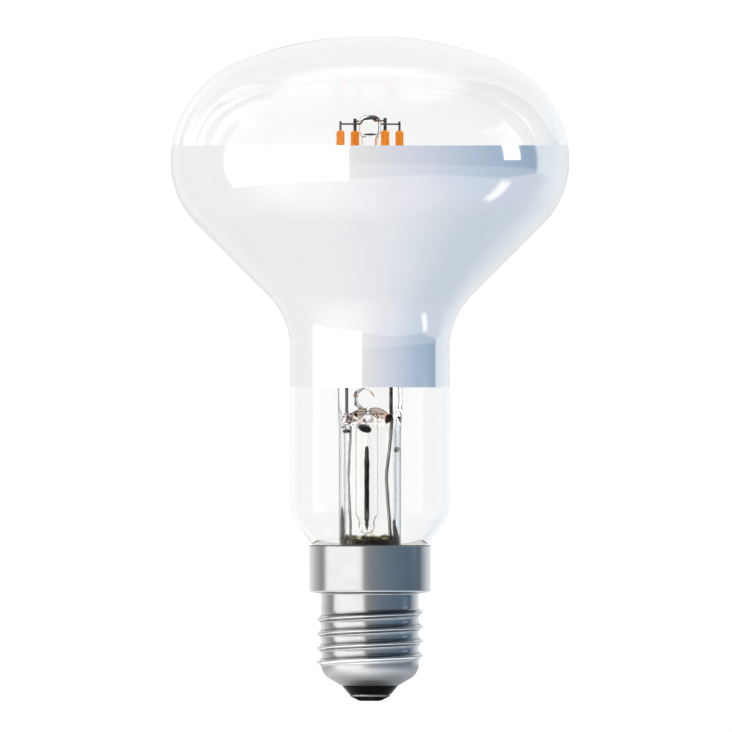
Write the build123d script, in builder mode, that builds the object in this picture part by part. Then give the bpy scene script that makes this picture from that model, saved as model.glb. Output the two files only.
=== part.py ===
from build123d import *
import os
from math import atan2, cos, degrees, radians, sin, sqrt, tan

# Reflector bulb, 50 mm class, with LED filaments and a small Edison screw cap, in millimetres.
# The origin is the middle of the centre contact's flat face, and +Z runs up the axis to the crown.
# Heights are stacked from the contact upwards, so each piece stands on the one below it.

# Centre contact and insulator
CONTACT_FACE_DIAMETER = 3.2
CONTACT_DIAMETER = 5.0
CONTACT_HEIGHT = 0.85
CONTACT_RIM = 0.25
RIVET_DIAMETER = 1.2
RIVET_LENGTH = 1.2
CONTACT_SOLDER = 0.4
INSULATOR_FOOT_DIAMETER = 5.3
INSULATOR_HEIGHT = 1.05
INSULATOR_RISE = 0.4

# Cap shell, drawn from one sheet
CAP_SHEET = 0.25
CAP_MOUTH_DIAMETER = 7.0
CAP_CONE_ANGLE = 60.0
CAP_CORNER_RADIUS = 1.5
SHELL_DIAMETER = 12.3
SHELL_HEIGHT = 9.0
SHOULDER_RISE = 0.4
SHOULDER_CORNER_RADIUS = 0.5
SHOULDER_FILLET_RADIUS = 0.2
SKIRT_DIAMETER = 15.2
SKIRT_HEIGHT = 5.85
THREAD_CREST_DIAMETER = 13.6
THREAD_PITCH = 1.81
THREAD_CREST_RADIUS = 0.4
THREAD_FLANK_ANGLE = 55.0
THREAD_LENGTH = 7.6
THREAD_ENTRY = 0.4

# Glass envelope
GLASS_WALL = 0.8
ADHESIVE_THICKNESS = 0.8
ADHESIVE_BELOW_RIM = 0.15
SEAL_STANDOFF = 2.2
RIM_CLEARANCE = 0.2
SEAL_FILLET_RADIUS = 1.0
NECK_SHOULDER_ANGLE = 38.0
NECK_SHOULDER_RADIUS = 4.0
NECK_DIAMETER = 20.0
NECK_LENGTH = 19.55
NECK_FILLET_RADIUS = 9.4
CONE_ANGLE = 45.0
LOWER_KNUCKLE_RADIUS = 11.0
BULB_DIAMETER = 50.0
DOME_HEIGHT = 15.8
CROWN_RADIUS = 45.0

# Mirror coating
COATING_THICKNESS = 0.15
COATING_ABOVE_EQUATOR = 2.0
COATING_BELOW_NECK_TOP = 4.8

# Glass stem
STEM_DIAMETER = 7.8
STEM_WALL = 0.6
STEM_HEIGHT = 24.1
FLARE_LIP = 0.15
PRESS_WIDTH = 8.4
PRESS_THICKNESS = 3.8
PRESS_HEIGHT = 3.4
PRESS_TAPER = 3.0
PRESS_FLOOR = 0.5
PRESS_SLOT = 1.2
PRESS_EDGE_RADIUS = 0.7
EXHAUST_DIAMETER = 2.8
EXHAUST_BORE = 0.4
EXHAUST_OFFSET = -0.4
EXHAUST_TIP_HEIGHT = 2.2
EXHAUST_HOLE = 2.4
EXHAUST_HOLE_RISE = 1.3
ROD_DIAMETER = 2.1
BUTTON_DIAMETER = 2.8
BUTTON_HEIGHT = 2.8
BUTTON_ROUNDING = 1.0
BUTTON_NECK = 0.6

# Filament cage, turned about the axis so that all four filaments show from the front
CAGE_TURN = -18.0
FILAMENT_CIRCLE = 8.3
FILAMENT_WIDTH = 1.0
FILAMENT_THICKNESS = 0.9
FILAMENT_LENGTH = 28.0
FILAMENT_EDGE_RADIUS = 0.35
FILAMENT_END_RADIUS = 0.3
TAB_WIDTH = 0.4
TAB_THICKNESS = 0.12
TAB_ROOT = 1.0
TAB_ABOVE_BRIDGE = 0.35
TAB_BELOW_FILAMENT = 1.4
WIRE_DIAMETER = 0.4
LEAD_WALL_GAP = 0.15
LEAD_EXHAUST_GAP = 0.5
FORK_RISE = 1.5
FORK_BEND_RADIUS = 0.8
LEG_HEIGHT = 2.05
LEG_GAP = 0.5
LOWER_BRIDGE_RISE = 0.85
BRIDGE_STEP = 0.4
BRIDGE_WIRE_DIAMETER = 0.22
BRIDGE_HUMP = 0.45
BRIDGE_HUMP_LENGTH = 2.4
BRIDGE_BEND_RADIUS = 0.4
BRIDGE_COVER = 0.75

# Driver inside the cap
BOARD_THICKNESS = 1.0
BOARD_HEIGHT = 9.6
BOARD_CLEARANCE = 0.4
TONGUE_ABOVE_SKIRT = 0.95
TONGUE_CLEARANCE = 0.1
EXHAUST_GAP = 0.7
LEAD_ON_BOARD = 3.0
LEAD_FROM_EDGE = 0.35
LEAD_BEND_RADIUS = 8.0
RECTIFIER_SIZE = (4.7, 1.6, 3.9)
RECTIFIER_PLACE = (2.6, 1.4)
CHIP_SIZE = (4.0, 1.5, 3.2)
CHIP_PLACE = (2.3, 5.8)
CAPACITOR_DIAMETER = 4.2
CAPACITOR_LENGTH = 7.5
CAPACITOR_RISE = 1.0
FUSE_DIAMETER = 1.8
FUSE_LENGTH = 5.0
FUSE_PLACE = (-2.6, 1.2)
PART_EDGE_RADIUS = 0.2
CONTACT_LEAD_ON_BOARD = 1.0
SHELL_LEAD_BEND_RADIUS = 0.6
SHELL_LEAD_HEIGHT = 3.4
SHELL_LEAD_INSET = 1.2
SHELL_LEAD_BELOW_SHOULDER = 0.7

# Radii and heights that follow from the sizes above
wire = WIRE_DIAMETER / 2
bridge_wire = BRIDGE_WIRE_DIAMETER / 2
tab_half = TAB_THICKNESS / 2
shell_root = SHELL_DIAMETER / 2
shell_bore = shell_root - CAP_SHEET
skirt_bore = SKIRT_DIAMETER / 2 - CAP_SHEET
mouth_radius = CAP_MOUTH_DIAMETER / 2
mouth_z = CONTACT_HEIGHT + INSULATOR_HEIGHT
cap_lean = radians(CAP_CONE_ANGLE)
knee_z = mouth_z + (shell_root - mouth_radius) / tan(cap_lean)
shell_foot = knee_z + CAP_CORNER_RADIUS * tan(cap_lean / 2)
insulator_top = shell_foot + INSULATOR_RISE
shoulder_z = shell_foot + SHELL_HEIGHT
skirt_z = shoulder_z + SHOULDER_RISE
skirt_top = skirt_z + SKIRT_HEIGHT

seal_radius = skirt_bore - ADHESIVE_THICKNESS
seal_bore = seal_radius - GLASS_WALL
seal_z = skirt_z + SEAL_STANDOFF
draw = radians(NECK_SHOULDER_ANGLE)
neck_radius = NECK_DIAMETER / 2
draw_foot_r = seal_radius + SEAL_FILLET_RADIUS * (1 - cos(draw))
draw_foot_z = skirt_top - (skirt_bore - RIM_CLEARANCE - draw_foot_r) / tan(draw)
seal_top = draw_foot_z - SEAL_FILLET_RADIUS * sin(draw)
draw_head_r = neck_radius - NECK_SHOULDER_RADIUS * (1 - cos(draw))
draw_head_z = draw_foot_z + (draw_head_r - draw_foot_r) / tan(draw)
neck_foot = draw_head_z + NECK_SHOULDER_RADIUS * sin(draw)
neck_top = neck_foot + NECK_LENGTH

cone = radians(CONE_ANGLE)
bulb_radius = BULB_DIAMETER / 2
cone_foot_r = neck_radius + NECK_FILLET_RADIUS * (1 - cos(cone))
cone_foot_z = neck_top + NECK_FILLET_RADIUS * sin(cone)
cone_head_r = bulb_radius - LOWER_KNUCKLE_RADIUS * (1 - cos(cone))
cone_head_z = cone_foot_z + (cone_head_r - cone_foot_r) / tan(cone)
equator = cone_head_z + LOWER_KNUCKLE_RADIUS * sin(cone)
crown_z = equator + DOME_HEIGHT
crown_drop = CROWN_RADIUS - DOME_HEIGHT
upper_knuckle = (CROWN_RADIUS**2 - bulb_radius**2 - crown_drop**2) / (2 * (CROWN_RADIUS - bulb_radius))
crown_turn = degrees(atan2(crown_drop, bulb_radius - upper_knuckle))
coating_low = neck_top - COATING_BELOW_NECK_TOP
coating_high = equator + COATING_ABOVE_EQUATOR

stem_radius = STEM_DIAMETER / 2
stem_bore = stem_radius - STEM_WALL
flare_radius = seal_bore - stem_radius - FLARE_LIP
press_top = seal_z + STEM_HEIGHT
press_z = press_top - PRESS_HEIGHT
taper_z = press_z - PRESS_TAPER
slot_z = press_z - PRESS_FLOOR
exhaust_radius = EXHAUST_DIAMETER / 2
exhaust_bore = EXHAUST_BORE / 2
rod_radius = ROD_DIAMETER / 2
button_radius = BUTTON_DIAMETER / 2

cage_radius = FILAMENT_CIRCLE / 2
cage_side = cage_radius * cos(radians(45))
leg_x = cage_side - tab_half - wire
fork_z = press_top + FORK_RISE
filament_z = fork_z + LEG_HEIGHT
filament_top = filament_z + FILAMENT_LENGTH
lower_bridge_z = filament_top + LOWER_BRIDGE_RISE
upper_bridge_z = lower_bridge_z + BRIDGE_STEP
button_top = upper_bridge_z + BRIDGE_COVER
button_z = button_top - BUTTON_HEIGHT

board_front = wire
board_back = board_front + BOARD_THICKNESS
board_top = insulator_top + BOARD_HEIGHT
board_half = sqrt((shell_bore - BOARD_CLEARANCE) ** 2 - board_back**2)
tongue_top = skirt_top + TONGUE_ABOVE_SKIRT
tongue_half = sqrt((stem_bore - TONGUE_CLEARANCE) ** 2 - board_back**2)
exhaust_z = tongue_top + EXHAUST_GAP
rivet_top = CONTACT_HEIGHT + RIVET_LENGTH

# The cage frame stands on the axis with x along the press and y to the back
cage_xy = Plane.XY.rotated((0, 0, CAGE_TURN))
cage_xz = Plane(origin=(0, 0, 0), x_dir=cage_xy.x_dir, z_dir=-cage_xy.y_dir)


def place(x, y, z):
    """A point of the cage frame in the shared frame."""
    return cage_xy.from_local_coords(Vector(x, y, z))


def bent_wire(wire_radius, bend_radius, *points):
    """A round wire through points of the cage frame, with every corner bent to one radius."""
    with BuildPart() as piece:
        with BuildLine() as path:
            FilletPolyline(*[place(*point) for point in points], radius=bend_radius)
        with BuildSketch(Plane(origin=path.line @ 0, z_dir=path.line % 0)):
            Circle(wire_radius)
        sweep(path=path.line)
    return piece


def upright_bar(x, y, turn, across, along, low, high):
    """A straight upright bar of the cage frame, its section turned about its own middle."""
    with BuildPart() as piece:
        with BuildSketch(cage_xy.offset(low)):
            with Locations(Location((x, y, 0), (0, 0, turn))):
                Rectangle(across, along)
        extrude(amount=high - low)
    return piece


def moulded_part(size, middle_x, middle_y, low):
    """A moulded electronic part in the cage frame, with its upright edges rounded."""
    with BuildPart() as piece:
        with BuildSketch(cage_xy.offset(low)):
            with Locations((middle_x, middle_y)):
                Rectangle(size[0], size[1])
        extrude(amount=size[2])
        fillet(piece.edges().filter_by(Axis.Z), radius=PART_EDGE_RADIUS)
    return piece


def can_part(diameter, length, middle_x, middle_y, low):
    """A round can in the cage frame, with both rims rounded."""
    with BuildPart() as piece:
        with BuildSketch(cage_xy.offset(low)):
            with Locations((middle_x, middle_y)):
                Circle(diameter / 2)
        extrude(amount=length)
        fillet(piece.edges().filter_by(GeomType.CIRCLE), radius=PART_EDGE_RADIUS)
    return piece


def envelope_section(inset):
    """Half section filled by the envelope moved inwards by inset, closed along the axis, as (r, z)."""
    with BuildSketch() as section:
        with BuildLine():
            CenterArc((0, crown_z - CROWN_RADIUS), CROWN_RADIUS - inset, 90, crown_turn - 90)
            CenterArc((bulb_radius - upper_knuckle, equator), upper_knuckle - inset, crown_turn, -crown_turn)
            lower_centre = (bulb_radius - LOWER_KNUCKLE_RADIUS, equator)
            lower = CenterArc(lower_centre, LOWER_KNUCKLE_RADIUS - inset, 0, -CONE_ANGLE)
            neck_centre = (neck_radius + NECK_FILLET_RADIUS, neck_top)
            neck = CenterArc(neck_centre, NECK_FILLET_RADIUS + inset, 180 - CONE_ANGLE, CONE_ANGLE)
            Line(lower @ 1, neck @ 0)
            draw_centre = (neck_radius - NECK_SHOULDER_RADIUS, neck_foot)
            drawn = CenterArc(draw_centre, NECK_SHOULDER_RADIUS - inset, 0, -NECK_SHOULDER_ANGLE)
            Line(neck @ 1, drawn @ 0)
            seal_centre = (seal_radius + SEAL_FILLET_RADIUS, seal_top)
            seal_start = 180 - NECK_SHOULDER_ANGLE
            seal = CenterArc(seal_centre, SEAL_FILLET_RADIUS + inset, seal_start, NECK_SHOULDER_ANGLE)
            Line(drawn @ 1, seal @ 0)
            Polyline(seal @ 1, (seal_radius - inset, seal_z), (0, seal_z), (0, crown_z - inset))
        make_face()
    return section.sketch


def thread_turns(inset):
    """The helical turns of the rolled thread moved inwards by inset, fading out at both ends."""
    root = shell_root - inset
    crest = THREAD_CREST_DIAMETER / 2 - inset
    rounding = THREAD_CREST_RADIUS - inset
    flank = radians(THREAD_FLANK_ANGLE)
    sink = CAP_SHEET / 2
    tip_half = rounding * sin(flank)
    tip_r = crest - rounding * (1 - cos(flank))
    foot_half = tip_half + (tip_r - root + sink) / tan(flank)
    first = shell_foot - THREAD_ENTRY
    last = shell_foot + THREAD_LENGTH
    fade = crest - root + sink
    with BuildPart() as turns:
        with BuildLine() as path:
            Helix(THREAD_PITCH, THREAD_LENGTH + 2 * THREAD_ENTRY, root, center=(0, 0, first))
        with BuildSketch(Plane.XZ):
            with BuildLine():
                ThreePointArc((tip_r, first + tip_half), (crest, first), (tip_r, first - tip_half))
                Polyline(
                    (tip_r, first - tip_half),
                    (root - sink, first - foot_half),
                    (root - sink, first + foot_half),
                    (tip_r, first + tip_half),
                )
            make_face()
        sweep(path=path.line, is_frenet=True)
        with BuildSketch(Plane.XZ):
            with BuildLine():
                Polyline(
                    (0, shell_foot),
                    (root, shell_foot),
                    (root + fade, shell_foot + fade),
                    (root + fade, last - fade),
                    (root, last),
                    (0, last),
                    close=True,
                )
            make_face()
        revolve(axis=Axis.Z, mode=Mode.INTERSECT)
    return turns.part


# Centre contact: a tinned eyelet whose rivet goes up into the insulator
with BuildPart() as centre_contact:
    with BuildSketch(Plane.XZ):
        with BuildLine():
            Line((0, 0), (CONTACT_FACE_DIAMETER / 2, 0))
            contact_shoulder = CONTACT_HEIGHT - CONTACT_RIM
            RadiusArc((CONTACT_FACE_DIAMETER / 2, 0), (CONTACT_DIAMETER / 2, contact_shoulder), -CONTACT_HEIGHT)
            Polyline(
                (CONTACT_DIAMETER / 2, contact_shoulder),
                (CONTACT_DIAMETER / 2, CONTACT_HEIGHT),
                (RIVET_DIAMETER / 2, CONTACT_HEIGHT),
                (RIVET_DIAMETER / 2, rivet_top),
                (wire, rivet_top),
                (wire, CONTACT_SOLDER),
                (0, CONTACT_SOLDER),
                (0, 0),
            )
        make_face()
    revolve(axis=Axis.Z)

# Cap shell: skirt, shoulder, rolled thread and cone, all of one sheet
with BuildPart() as cap_shell:
    with BuildSketch(Plane.XZ):
        with BuildLine():
            FilletPolyline(
                (SKIRT_DIAMETER / 2, skirt_top),
                (SKIRT_DIAMETER / 2, skirt_z),
                (shell_root, shoulder_z),
                (shell_root, knee_z),
                (mouth_radius, mouth_z),
                radius=(SHOULDER_CORNER_RADIUS, SHOULDER_FILLET_RADIUS, CAP_CORNER_RADIUS),
            )
            offset(amount=CAP_SHEET, side=Side.RIGHT)
        make_face()
    revolve(axis=Axis.Z)
    add(thread_turns(0))
    add(thread_turns(CAP_SHEET), mode=Mode.SUBTRACT)

# Insulator: fused into the cone of the shell, with a hole for the rivet and the contact lead
with BuildPart() as cap_insulator:
    with BuildSketch(Plane.XZ):
        mouth_in = (mouth_radius - CAP_SHEET * cos(cap_lean), mouth_z + CAP_SHEET * sin(cap_lean))
        knee_in_z = mouth_in[1] + (shell_bore - mouth_in[0]) / tan(cap_lean)
        with BuildLine():
            FilletPolyline(
                mouth_in,
                (shell_bore, knee_in_z),
                (shell_bore, insulator_top),
                radius=CAP_CORNER_RADIUS - CAP_SHEET,
            )
            Polyline(
                (shell_bore, insulator_top),
                (RIVET_DIAMETER / 2, insulator_top),
                (RIVET_DIAMETER / 2, CONTACT_HEIGHT),
                (INSULATOR_FOOT_DIAMETER / 2, CONTACT_HEIGHT),
                (mouth_radius, mouth_z),
                mouth_in,
            )
        make_face()
    revolve(axis=Axis.Z)

# Glass envelope, and the mirror coating on its inside
with BuildPart() as glass_envelope:
    with BuildSketch(Plane.XZ):
        add(envelope_section(0))
        add(envelope_section(GLASS_WALL), mode=Mode.SUBTRACT)
    revolve(axis=Axis.Z)

with BuildPart() as mirror_coating:
    with BuildSketch(Plane.XZ):
        add(envelope_section(GLASS_WALL))
        add(envelope_section(GLASS_WALL + COATING_THICKNESS), mode=Mode.SUBTRACT)
        with Locations((0, (coating_low + coating_high) / 2)):
            Rectangle(2 * BULB_DIAMETER, coating_high - coating_low, mode=Mode.INTERSECT)
    revolve(axis=Axis.Z)

# Adhesive ring between the seal and the skirt
with BuildPart() as capping_adhesive:
    with BuildSketch(Plane.XZ):
        ring_top = skirt_top - ADHESIVE_BELOW_RIM
        with Locations((skirt_bore, seal_z)):
            Rectangle(2 * ADHESIVE_THICKNESS, ring_top - seal_z, align=(Align.MAX, Align.MIN))
        add(envelope_section(0), mode=Mode.SUBTRACT)
    revolve(axis=Axis.Z)

# Filaments with their end tabs, counted from the right and round to the back
filaments = []
upper_tabs = []
lower_tabs = []
for number in range(4):
    turn = 45 + 90 * number
    spot_x = cage_radius * cos(radians(turn))
    spot_y = cage_radius * sin(radians(turn))
    bridge_z = lower_bridge_z if number % 2 == 0 else upper_bridge_z
    tab_top = bridge_z + TAB_ABOVE_BRIDGE
    upper_tab = upright_bar(
        spot_x, spot_y, turn, TAB_THICKNESS, TAB_WIDTH, filament_top - TAB_ROOT, tab_top
    )
    lower_tab = upright_bar(
        spot_x, spot_y, 0, TAB_THICKNESS, TAB_WIDTH, filament_z - TAB_BELOW_FILAMENT, filament_z + TAB_ROOT
    )
    with BuildPart() as filament:
        with BuildSketch(cage_xy.offset(filament_z)):
            with Locations(Location((spot_x, spot_y, 0), (0, 0, turn))):
                RectangleRounded(FILAMENT_THICKNESS, FILAMENT_WIDTH, FILAMENT_EDGE_RADIUS)
        extrude(amount=FILAMENT_LENGTH)
        ends = filament.faces().filter_by(Axis.Z)
        fillet(ends.edges(), radius=FILAMENT_END_RADIUS)
        add(upper_tab.part, mode=Mode.SUBTRACT)
        add(lower_tab.part, mode=Mode.SUBTRACT)
    filaments.append(filament)
    upper_tabs.append(upper_tab)
    lower_tabs.append(lower_tab)

# Bridge wires: each runs from one upper tab to the opposite one, humped where the button holds it
bridges = []
for turn, bridge_z in ((45, lower_bridge_z), (135, upper_bridge_z)):
    reach = cage_radius - tab_half
    hump_top = bridge_z + BRIDGE_HUMP
    crown_half = BRIDGE_HUMP_LENGTH / 2 - BRIDGE_HUMP
    profile = (
        (-reach, bridge_z),
        (-BRIDGE_HUMP_LENGTH / 2, bridge_z),
        (-crown_half, hump_top),
        (crown_half, hump_top),
        (BRIDGE_HUMP_LENGTH / 2, bridge_z),
        (reach, bridge_z),
    )
    along_x = cos(radians(turn))
    along_y = sin(radians(turn))
    points = [(r * along_x, r * along_y, z) for r, z in profile]
    bridges.append(bent_wire(bridge_wire, BRIDGE_BEND_RADIUS, *points))
lower_bridge_wire, upper_bridge_wire = bridges

# Fork wires and the three welded lengths of each lead-in wire, left and right
forks = []
inner_leads = []
seal_wires = []
outer_leads = []
lead_bows = {-1: stem_bore - wire - LEAD_WALL_GAP, 1: exhaust_radius + wire + LEAD_EXHAUST_GAP}
lead_foot_x = tongue_half - LEAD_FROM_EDGE
bow_z = (slot_z + tongue_top) / 2
for side in (-1, 1):
    leg_top = filament_z - LEG_GAP
    fork = bent_wire(
        wire,
        FORK_BEND_RADIUS,
        (side * leg_x, -cage_side, leg_top),
        (side * leg_x, -cage_side, fork_z),
        (side * leg_x, cage_side, fork_z),
        (side * leg_x, cage_side, leg_top),
    )
    forks.append(fork)
    lead_ends = ((inner_leads, press_top, fork_z - wire), (seal_wires, slot_z, press_top))
    for group, low, high in lead_ends:
        with BuildPart() as lead:
            with BuildSketch(cage_xy.offset(low)):
                with Locations((side * leg_x, 0)):
                    Circle(wire)
            extrude(amount=high - low)
        group.append(lead)
    outer_lead = bent_wire(
        wire,
        LEAD_BEND_RADIUS,
        (side * leg_x, 0, slot_z),
        (side * leg_x, 0, slot_z - PRESS_TAPER),
        (side * lead_bows[side], 0, bow_z),
        (side * lead_foot_x, 0, tongue_top),
        (side * lead_foot_x, 0, tongue_top - LEAD_ON_BOARD),
    )
    outer_leads.append(outer_lead)

# Glass stem: flare tube, press, exhaust tube and support rod, fused into one piece
with BuildPart() as glass_stem:
    with BuildSketch(Plane.XZ):
        with BuildLine():
            flare_out = FilletPolyline(
                (seal_bore, seal_z + STEM_WALL),
                (stem_radius, seal_z + STEM_WALL),
                (stem_radius, taper_z),
                radius=flare_radius,
            )
            flare_in = FilletPolyline(
                (seal_bore, seal_z),
                (stem_bore, seal_z),
                (stem_bore, taper_z),
                radius=flare_radius + STEM_WALL,
            )
            Line(flare_out @ 0, flare_in @ 0)
            Line(flare_out @ 1, flare_in @ 1)
        make_face()
    revolve(axis=Axis.Z)
    with BuildSketch(cage_xy.offset(taper_z)):
        Circle(stem_radius)
    with BuildSketch(cage_xy.offset(press_z)):
        Ellipse(PRESS_WIDTH / 2, PRESS_THICKNESS / 2)
    loft()
    with BuildPart(mode=Mode.PRIVATE) as slot:
        with BuildSketch(cage_xy.offset(taper_z)):
            Circle(stem_bore)
        with BuildSketch(cage_xy.offset(slot_z)):
            Ellipse(stem_bore, PRESS_SLOT / 2)
        loft()
    add(slot.part, mode=Mode.SUBTRACT)
    with BuildPart(mode=Mode.PRIVATE) as press:
        with BuildSketch(cage_xy.offset(press_z)):
            Ellipse(PRESS_WIDTH / 2, PRESS_THICKNESS / 2)
        extrude(amount=PRESS_HEIGHT)
        fillet(press.faces().sort_by(Axis.Z)[-1].edges(), radius=PRESS_EDGE_RADIUS)
    add(press.part)
    exhaust_axis = Axis((EXHAUST_OFFSET, 0, 0), (0, 0, 1))
    exhaust_plane = Plane(origin=(EXHAUST_OFFSET, 0, 0), x_dir=(1, 0, 0), z_dir=(0, -1, 0))
    with BuildSketch(exhaust_plane):
        with BuildLine():
            FilletPolyline(
                (0, exhaust_z),
                (exhaust_radius / 2, exhaust_z),
                (exhaust_radius, exhaust_z + EXHAUST_TIP_HEIGHT),
                (exhaust_radius, press_z),
                radius=exhaust_radius / 3,
            )
            Polyline((exhaust_radius, press_z), (0, press_z), (0, exhaust_z))
        make_face()
    revolve(axis=exhaust_axis)
    hole_z = press_z + EXHAUST_HOLE_RISE
    with BuildSketch(exhaust_plane):
        with BuildLine():
            FilletPolyline(
                (0, exhaust_z + EXHAUST_TIP_HEIGHT / 2),
                (exhaust_bore, exhaust_z + 2 * EXHAUST_TIP_HEIGHT),
                (exhaust_bore, hole_z + exhaust_bore),
                (0, hole_z + exhaust_bore),
                radius=exhaust_bore / 2,
            )
            Line((0, hole_z + exhaust_bore), (0, exhaust_z + EXHAUST_TIP_HEIGHT / 2))
        make_face()
    revolve(axis=exhaust_axis, mode=Mode.SUBTRACT)
    with BuildSketch(cage_xz):
        with Locations((EXHAUST_OFFSET, hole_z)):
            Circle(EXHAUST_HOLE / 2)
    extrude(amount=PRESS_THICKNESS, mode=Mode.SUBTRACT)
    with BuildSketch(Plane.XZ):
        with BuildLine():
            rod_foot = press_top - PRESS_EDGE_RADIUS
            FilletPolyline(
                (rod_radius, rod_foot),
                (rod_radius, button_z),
                (button_radius, button_z + BUTTON_NECK),
                (button_radius, button_top),
                (0, button_top),
                radius=(BUTTON_NECK, BUTTON_NECK, BUTTON_ROUNDING),
            )
            Polyline((0, button_top), (0, rod_foot), (rod_radius, rod_foot))
        make_face()
    revolve(axis=Axis.Z)
    for embedded in bridges + seal_wires:
        add(embedded.part, mode=Mode.SUBTRACT)

# Driver board: stands on the insulator, its tongue goes up into the stem
with BuildPart() as driver_board:
    with BuildSketch(cage_xz.offset(-board_front)):
        with BuildLine():
            Polyline(
                (-board_half, insulator_top),
                (board_half, insulator_top),
                (board_half, board_top),
                (tongue_half, board_top),
                (tongue_half, tongue_top),
                (-tongue_half, tongue_top),
                (-tongue_half, board_top),
                (-board_half, board_top),
                close=True,
            )
        make_face()
    extrude(amount=-BOARD_THICKNESS)

bridge_rectifier = moulded_part(
    RECTIFIER_SIZE, RECTIFIER_PLACE[0], board_front - RECTIFIER_SIZE[1] / 2, insulator_top + RECTIFIER_PLACE[1]
)
driver_chip = moulded_part(
    CHIP_SIZE, CHIP_PLACE[0], board_front - CHIP_SIZE[1] / 2, insulator_top + CHIP_PLACE[1]
)
smoothing_capacitor = can_part(
    CAPACITOR_DIAMETER, CAPACITOR_LENGTH, 0, board_back + CAPACITOR_DIAMETER / 2, insulator_top + CAPACITOR_RISE
)
fuse_resistor = can_part(
    FUSE_DIAMETER, FUSE_LENGTH, FUSE_PLACE[0], board_front - FUSE_DIAMETER / 2, insulator_top + FUSE_PLACE[1]
)

# Contact lead down through the insulator, and shell lead out to the inside of the shell
with BuildPart() as contact_lead:
    with BuildSketch(cage_xy.offset(CONTACT_SOLDER)):
        Circle(wire)
    extrude(amount=insulator_top + CONTACT_LEAD_ON_BOARD - CONTACT_SOLDER)

shell_lead_x = board_half - SHELL_LEAD_INSET
shell_lead_z = shoulder_z - SHELL_LEAD_BELOW_SHOULDER
shell_lead_reach = sqrt(shell_bore**2 - wire**2)
shell_lead = bent_wire(
    wire,
    SHELL_LEAD_BEND_RADIUS,
    (-shell_lead_x, 0, shell_lead_z - SHELL_LEAD_HEIGHT),
    (-shell_lead_x, 0, shell_lead_z),
    (-shell_lead_reach, 0, shell_lead_z),
)

pieces = {
    "glass_envelope": glass_envelope,
    "mirror_coating": mirror_coating,
    "glass_stem": glass_stem,
    "lower_bridge_wire": lower_bridge_wire,
    "upper_bridge_wire": upper_bridge_wire,
    "left_fork_wire": forks[0],
    "right_fork_wire": forks[1],
    "left_inner_lead": inner_leads[0],
    "right_inner_lead": inner_leads[1],
    "left_seal_wire": seal_wires[0],
    "right_seal_wire": seal_wires[1],
    "left_outer_lead": outer_leads[0],
    "right_outer_lead": outer_leads[1],
    "cap_shell": cap_shell,
    "cap_insulator": cap_insulator,
    "centre_contact": centre_contact,
    "capping_adhesive": capping_adhesive,
    "driver_board": driver_board,
    "bridge_rectifier": bridge_rectifier,
    "driver_chip": driver_chip,
    "smoothing_capacitor": smoothing_capacitor,
    "fuse_resistor": fuse_resistor,
    "contact_lead": contact_lead,
    "shell_lead": shell_lead,
}
for number in range(4):
    pieces[f"filament_{number + 1}"] = filaments[number]
    pieces[f"upper_tab_{number + 1}"] = upper_tabs[number]
    pieces[f"lower_tab_{number + 1}"] = lower_tabs[number]

os.makedirs("parts", exist_ok=True)
for name, piece in pieces.items():
    piece.part.label = name
    export_step(piece.part, f"parts/{name}.step")
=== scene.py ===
from math import cos, pi, radians, sin, tan

import bmesh
import bpy
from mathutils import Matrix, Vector


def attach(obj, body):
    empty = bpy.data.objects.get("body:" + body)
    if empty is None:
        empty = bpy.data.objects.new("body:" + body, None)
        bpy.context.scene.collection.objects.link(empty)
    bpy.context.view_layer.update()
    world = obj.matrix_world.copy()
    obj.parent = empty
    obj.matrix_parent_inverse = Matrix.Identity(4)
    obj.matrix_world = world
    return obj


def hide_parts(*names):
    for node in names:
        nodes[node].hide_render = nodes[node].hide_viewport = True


# Reflector bulb with LED filaments and a small Edison screw cap.
# Lengths are in millimetres up to mesh_piece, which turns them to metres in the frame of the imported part.
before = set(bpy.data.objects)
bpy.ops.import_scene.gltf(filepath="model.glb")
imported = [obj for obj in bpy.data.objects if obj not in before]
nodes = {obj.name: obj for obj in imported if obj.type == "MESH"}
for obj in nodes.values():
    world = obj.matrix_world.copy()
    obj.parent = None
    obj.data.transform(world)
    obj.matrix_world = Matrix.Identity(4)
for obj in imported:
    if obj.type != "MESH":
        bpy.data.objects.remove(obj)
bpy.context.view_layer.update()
MM = 0.001

# Glass envelope
wall = 0.8
seal_radius, seal_z, seal_top, seal_fillet = 6.55, 15.896, 18.434, 1.0
draw_angle, draw_radius = 38.0, 4.0
neck_radius, neck_foot, neck_top, neck_fillet = 10.0, 24.571, 44.121, 9.4
cone_angle, lower_knuckle = 45.0, 11.0
bulb_radius, equator, crown_z, crown_radius = 25.0, 67.571, 83.371, 45.0
upper_knuckle, crown_turn = 13.684, 68.817

# Mirror film on the inside of the glass
film_low, film_high, film_thickness, film_sunk = 39.321, 69.571, 0.15, 0.03

# Glass stem, with the press turned with the filament cage
cage_turn = radians(-18.0)
stem_radius, stem_bore, flare_radius, stem_wall, stem_around = 3.9, 3.3, 1.7, 0.6, 128
taper_z, slot_z, press_z, press_top = 33.596, 36.096, 36.596, 39.996
press_half_width, press_half_thickness, slot_half = 4.2, 1.9, 0.6
press_round, round_along, round_across = 0.9, 1.6, 0.45
rod_radius, rod_foot, rod_fillet = 1.05, 0.4, 0.5
button_radius, button_z, button_top, button_neck, button_round = 1.4, 70.746, 73.546, 0.6, 1.0
exhaust_radius, exhaust_bore, exhaust_offset = 1.4, 0.2, -0.4
exhaust_tip, tip_length = 21.196, 2.2
dark_low, dark_full, dark_top, dark_taper, dark_end = 0.4, 1.4, 32.1, 2.0, 0.12
hole_radius, hole_z, hole_straight, hole_reach, hole_flare = 1.2, 37.896, 1.5, 2.2, 0.25

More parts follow.
